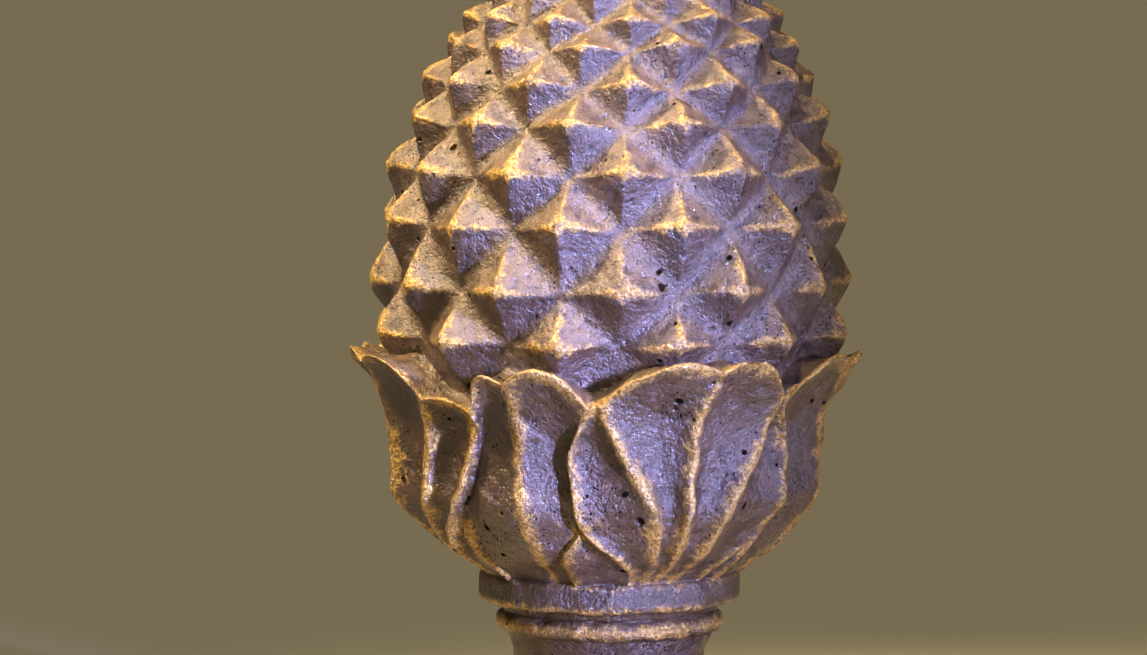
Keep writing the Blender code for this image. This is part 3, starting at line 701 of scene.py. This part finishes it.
def mesh_object(name, vertices, faces):
    mesh = bpy.data.meshes.new(name)
    mesh.vertices.add(len(vertices))
    mesh.vertices.foreach_set("co", (np.asarray(vertices) * MM).ravel())
    mesh.loops.add(3 * len(faces))
    mesh.loops.foreach_set("vertex_index", np.asarray(faces, np.int32).ravel())
    mesh.polygons.add(len(faces))
    mesh.polygons.foreach_set("loop_start", np.arange(0, 3 * len(faces), 3, dtype=np.int32))
    mesh.update(calc_edges=True)
    made = bpy.data.objects.new(name, mesh)
    bpy.context.scene.collection.objects.link(made)
    return made


def joined_surface():
    """One closed skin from the stem, plinth, cup and cone, with each vertex's marks and the part it is on."""
    parts = [stem_surface(), plinth_surface(), cup_surface(), cone_surface()]
    objects = [mesh_object(name, part[0], part[1]) for name, part in zip(PART_NAMES, parts)]
    target = objects[0]
    for other in objects[1:]:
        modifier = target.modifiers.new(other.name, "BOOLEAN")
        modifier.operation = "UNION"
        modifier.solver = "MANIFOLD"
        modifier.object = other
    graph = bpy.context.evaluated_depsgraph_get()
    mesh = bpy.data.meshes.new_from_object(target.evaluated_get(graph))
    points = np.empty(3 * len(mesh.vertices))
    mesh.vertices.foreach_get("co", points)
    points = points.reshape(-1, 3) / MM
    source = np.concatenate([part[0] for part in parts])
    marks = np.stack([np.concatenate([part[k] for part in parts]) for k in (2, 3)], 1)
    kinds = np.concatenate([np.full(len(part[0]), k) for k, part in enumerate(parts)])
    tree = kdtree.KDTree(len(source))
    for i, p in enumerate(source):
        tree.insert(Vector(p), i)
    tree.balance()
    nearest = np.array([tree.find(Vector(p))[1] for p in points])
    for old in objects:
        bpy.data.objects.remove(old, do_unlink=True)
    return mesh, points, marks[nearest], kinds[nearest]


def vertex_normals(mesh):
    normals = np.empty(3 * len(mesh.vertices))
    mesh.vertices.foreach_get("normal", normals)
    return normals.reshape(-1, 3)


def weather(mesh, points):
    """Hand-made unevenness: slow waves, a rough cast skin and worn spots."""
    normals = vertex_normals(mesh)
    above_ground = smooth(points[:, 2], 0.5, 6.0)[:, None]
    move = sum(height * noise(points, size, 1 + k) for k, (height, size) in enumerate(SKIN_WAVES))
    move -= WORN_DEPTH * smooth(noise(points, WORN_SPOT_SIZE, 4), 0.35, 0.8)
    carved = smooth(points[:, 2], CUP_BASE - 2, CUP_BASE + 10)[:, None]
    drift = []
    for side in range(3):
        waves = enumerate(DRIFT_WAVES, 1)
        drift.append(sum(share * noise(points, size, 10 * k + side) for k, (share, size) in waves))
    points = points + above_ground * (normals * move[:, None] + DRIFT * carved * np.stack(drift, 1))
    mesh.vertices.foreach_set("co", (points * MM).ravel())
    mesh.update()
    return points


def add_marks(mesh, marks, kinds):
    """Numbers on the vertices that the paint reads, each from 0 to 1."""
    normals = vertex_normals(mesh)
    layers = {
        "ridge": np.clip(1 - marks[:, 0] / GILT_REACH, 0, 1),
        "hollow": np.clip(marks[:, 1], 0, 1),
        "upward": np.clip(normals[:, 2], 0, 1),
        "scaled": (kinds == PART_NAMES.index("cone")).astype(float),
    }
    for name, values in layers.items():
        layer = mesh.attributes.new(name, "FLOAT", "POINT")
        layer.data.foreach_set("value", values.astype(np.float32))


class Paint:
    """Short names for building a material's nodes."""

    def __init__(self, name):
        self.material = bpy.data.materials.new(name)
        self.material.use_nodes = True
        self.tree = self.material.node_tree
        self.shader = self.tree.nodes["Principled BSDF"]
        self.place = self.tree.nodes.new("ShaderNodeTexCoord").outputs["Object"]

    def link(self, value, socket):
        if isinstance(value, bpy.types.NodeSocket):
            self.tree.links.new(value, socket)
        else:
            socket.default_value = value

    def attribute(self, name):
        node = self.tree.nodes.new("ShaderNodeAttribute")
        node.attribute_name = name
        return node.outputs["Fac"]

    def math(self, operation, a, b=0.0, c=0.0):
        node = self.tree.nodes.new("ShaderNodeMath")
        node.operation = operation
        for value, socket in zip((a, b, c), node.inputs):
            self.link(value, socket)
        return node.outputs[0]

    def noise(self, scale, detail, roughness=0.5):
        node = self.tree.nodes.new("ShaderNodeTexNoise")
        self.link(self.place, node.inputs["Vector"])
        node.inputs["Scale"].default_value = scale
        node.inputs["Detail"].default_value = detail
        node.inputs["Roughness"].default_value = roughness
        return node.outputs["Fac"]

    def step(self, value, low, high):
        node = self.tree.nodes.new("ShaderNodeMapRange")
        node.interpolation_type = "SMOOTHSTEP"
        self.link(value, node.inputs["Value"])
        self.link(low, node.inputs["From Min"])
        self.link(high, node.inputs["From Max"])
        return node.outputs["Result"]

    def mix(self, share, a, b):
        node = self.tree.nodes.new("ShaderNodeMix")
        node.data_type = "RGBA"
        self.link(share, node.inputs[0])
        for value, socket in ((a, node.inputs[6]), (b, node.inputs[7])):
            self.link(value, socket)
        return node.outputs[2]

    def pits(self, scale, least, most, rarity, crowd):
        """Ragged round holes with radii between least and most, wide ones rarer, larger where crowd is 1."""
        node = self.tree.nodes.new("ShaderNodeTexVoronoi")
        self.link(self.place, node.inputs["Vector"])
        node.inputs["Scale"].default_value = scale
        chance = self.tree.nodes.new("ShaderNodeSeparateColor")
        self.link(node.outputs["Color"], chance.inputs[0])
        size = self.math("POWER", chance.outputs[0], rarity)
        size = self.math("MULTIPLY", size, crowd)
        radius = self.math("MULTIPLY_ADD", size, most - least, least)
        ragged = self.math("MULTIPLY_ADD", self.noise(2.0 * scale, 1.0), 1.6, 0.35)
        radius = self.math("MULTIPLY", radius, ragged)
        inner = self.math("MULTIPLY", radius, 0.6)
        return self.math("SUBTRACT", 1.0, self.step(node.outputs["Distance"], inner, radius))


def colour(red, green, blue):
    """A colour from its screen values out of 255."""
    shares = [c / 255 for c in (red, green, blue)]
    return tuple(c / 12.92 if c <= 0.04045 else ((c + 0.055) / 1.055) ** 2.4 for c in shares) + (1.0,)


def weathered_paint(p, cloudy, streaky, mottle):
    """Brown to mauve paint, tan on what faces up as a coat and as painted top light, dust in the valleys and
    dark mottling.
    """
    brown, mauve, violet = colour(70, 46, 27), colour(80, 56, 47), colour(88, 70, 80)
    tan, dusty, dark = colour(126, 98, 66), colour(118, 98, 80), colour(36, 26, 17)
    base = p.mix(p.step(cloudy, 0.38, 0.64), brown, mauve)
    base = p.mix(p.math("MULTIPLY", p.step(streaky, 0.5, 0.72), 0.4), base, violet)
    # Faces turned up go tan: partly a coat of paint, partly painted light from above.
    wash_and_top_light = p.math("MULTIPLY", p.step(p.attribute("upward"), 0.05, 0.6), p.step(streaky, 0.25, 0.55))
    base = p.mix(p.math("MULTIPLY", wash_and_top_light, 0.65), base, tan)
    dust = p.math("MULTIPLY", p.step(p.attribute("hollow"), 0.55, 0.95), p.attribute("scaled"))
    base = p.mix(p.math("MULTIPLY", dust, p.step(cloudy, 0.35, 0.8)), base, dusty)
    return p.mix(p.math("MULTIPLY", p.step(mottle, 0.46, 0.66), 0.75), base, dark)


def rubbed_gilt(p, base, cloudy, streaky, grainy):
    """The paint with gilt rubbed on its raised lines, and how much of it is gilt."""
    faded, dark_gold, bright_gold = colour(132, 100, 58), colour(136, 97, 36), colour(218, 180, 100)
    gain = p.math("MULTIPLY_ADD", p.attribute("scaled"), -0.14, 0.14)
    ridge = p.math("ADD", p.attribute("ridge"), gain)
    rub = p.math("MULTIPLY_ADD", streaky, 2.4, -1.2)
    rub = p.math("ADD", rub, p.math("MULTIPLY", p.math("SUBTRACT", grainy, 0.5), 0.8))
    rub = p.math("ADD", rub, p.math("MULTIPLY", p.math("SUBTRACT", cloudy, 0.5), 1.4))
    halo = p.step(p.math("MULTIPLY_ADD", rub, 0.7, ridge), 0.15, 0.9)
    base = p.mix(p.math("MULTIPLY", halo, 0.45), base, faded)
    gilt = p.step(p.math("ADD", ridge, rub), 0.5, 1.0)
    gold = p.mix(p.step(grainy, 0.35, 0.65), dark_gold, bright_gold)
    return p.mix(p.math("MULTIPLY", gilt, 0.9), base, gold), gilt


def bubble_pits(p, gilt):
    """Air-bubble pits of two sizes in crowded patches, fewer on the scales and on the gilt."""
    patches = p.step(p.noise(34.0, 3.0, 0.6), 0.37, 0.6)
    patches = p.math("MULTIPLY", patches, p.math("MULTIPLY_ADD", p.attribute("scaled"), -0.2, 1.0))
    patches = p.math("MULTIPLY", patches, p.math("MULTIPLY_ADD", gilt, -0.5, 1.0))
    small = p.pits(720.0, 0.03, 0.42, 1.8, patches)
    large = p.pits(150.0, 0.01, 0.34, 3.0, patches)
    return p.math("MAXIMUM", small, large)


def set_gloss(p, streaky, fine, gilt, pits):
    """A soft uneven sheen, with glints on the fine grain, and dull pits."""
    rough = p.math("MULTIPLY_ADD", streaky, 0.6, 0.12)
    rough = p.math("MULTIPLY_ADD", p.step(fine, 0.52, 0.7), -0.25, rough)
    p.link(p.math("MULTIPLY_ADD", pits, 0.3, rough), p.shader.inputs["Roughness"])
    p.link(p.math("MULTIPLY", gilt, 0.35), p.shader.inputs["Metallic"])
    p.link(p.math("MULTIPLY_ADD", pits, -0.7, 0.7), p.shader.inputs["Specular IOR Level"])
    p.shader.inputs["IOR"].default_value = 1.7


def set_relief(p, streaky, mottle, grainy, fine, pits):
    """Fine relief of the skin: brushed streaks, shallow dents, grain and sunken pits."""
    height = p.math("MULTIPLY_ADD", grainy, 0.6, p.math("MULTIPLY", mottle, -1.1))
    height = p.math("MULTIPLY_ADD", streaky, 0.5, height)
    height = p.math("MULTIPLY_ADD", fine, 0.07, height)
    height = p.math("MULTIPLY_ADD", pits, -1.6, height)
    bump = p.tree.nodes.new("ShaderNodeBump")
    bump.inputs["Strength"].default_value = 1.0
    bump.inputs["Distance"].default_value = RELIEF_DEPTH * MM
    p.link(height, bump.inputs["Height"])
    p.link(bump.outputs["Normal"], p.shader.inputs["Normal"])


def painted_stone():
    """Mauve-brown paint on pitted cast stone, with gilt rubbed on what stands proud."""
    p = Paint("painted_cast_stone")
    cloudy = p.noise(35.0, 4.0, 0.6)
    streaky = p.noise(160.0, 4.0, 0.65)
    mottle = p.noise(260.0, 3.0, 0.65)
    grainy = p.noise(700.0, 3.0, 0.7)
    fine = p.noise(2100.0, 2.0, 0.6)
    base = weathered_paint(p, cloudy, streaky, mottle)
    base, gilt = rubbed_gilt(p, base, cloudy, streaky, grainy)
    pits = bubble_pits(p, gilt)
    # The pits are painted near black: painted shade inside holes that are only bumps in the relief.
    base = p.mix(p.math("MULTIPLY", pits, 0.9), base, colour(16, 10, 8))
    p.link(base, p.shader.inputs["Base Color"])
    set_gloss(p, streaky, fine, gilt, pits)
    set_relief(p, streaky, mottle, grainy, fine, pits)
    return p.material


def add_finial():
    mesh, points, marks, kinds = joined_surface()
    points = weather(mesh, points)
    add_marks(mesh, marks, kinds)
    mesh.polygons.foreach_set("use_smooth", np.ones(len(mesh.polygons), bool))
    mesh.materials.clear()
    mesh.materials.append(painted_stone())
    mesh.name = "finial_surface"
    finial = bpy.data.objects.new("finial_surface", mesh)
    bpy.context.scene.collection.objects.link(finial)
    print("finial triangles", sum(len(f.vertices) - 2 for f in mesh.polygons))
    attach(finial, "root")
    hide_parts("acorn_finial")


def add_floor():
    corners = [(x * FLOOR_REACH, y * FLOOR_REACH, 0.0) for x, y in ((-1, -1), (1, -1), (1, 1), (-1, 1))]
    floor = mesh_object("floor", corners, [(0, 1, 2), (0, 2, 3)])
    material = bpy.data.materials.new("pale_floor")
    material.use_nodes = True
    shader = material.node_tree.nodes["Principled BSDF"]
    shader.inputs["Base Color"].default_value = colour(236, 226, 192)
    shader.inputs["Roughness"].default_value = 0.9
    floor.data.materials.append(material)


def add_light(name, place, aim, size, spread, power, shade):
    lamp = bpy.data.lights.new(name, "AREA")
    lamp.shape = "RECTANGLE"
    lamp.size, lamp.size_y = size
    lamp.energy = power
    lamp.color = shade
    lamp.spread = math.radians(spread)
    made = bpy.data.objects.new(name, lamp)
    made.location = place
    made.rotation_euler = (Vector(aim) - Vector(place)).to_track_quat("-Z", "Y").to_euler()
    bpy.context.scene.collection.objects.link(made)


def add_lights():
    """The studio lights, a broad soft light overhead and a weak warm sky."""
    for light in STUDIO_LIGHTS:
        add_light(*light)
    sun = bpy.data.lights.new("overhead", "SUN")
    sun.energy = 0.5
    sun.angle = math.radians(30)
    sun.color = (1.0, 0.9, 0.72)
    overhead = bpy.data.objects.new("overhead", sun)
    overhead.rotation_euler = (math.radians(-8), math.radians(-12), 0)
    bpy.context.scene.collection.objects.link(overhead)
    world = bpy.data.worlds.new("studio")
    world.use_nodes = True
    sky = world.node_tree.nodes["Background"]
    sky.inputs["Color"].default_value = (1.0, 0.86, 0.68, 1.0)
    sky.inputs["Strength"].default_value = 0.07
    bpy.context.scene.world = world
    bpy.context.scene.view_settings.view_transform = "Standard"


def add_camera():
    lens = bpy.data.cameras.new("camera")
    lens.sensor_width = 36.0
    lens.lens = lens.sensor_width * FOCAL_PIXELS / PHOTO_WIDTH
    lens.shift_x = (0.5 * PHOTO_WIDTH - AXIS_PIXEL) / PHOTO_WIDTH
    lens.clip_end = 200.0
    camera = bpy.data.objects.new("camera", lens)
    out = Vector((0, -math.cos(CAMERA_ELEVATION), math.sin(CAMERA_ELEVATION)))
    camera.location = Vector((0, 0, AIM_HEIGHT)) + CAMERA_DISTANCE * out
    camera.rotation_euler = (-out).to_track_quat("-Z", "Y").to_euler()
    bpy.context.scene.collection.objects.link(camera)
    bpy.context.scene.camera = camera


def main():
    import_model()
    add_finial()
    add_floor()
    add_lights()
    add_camera()


main()
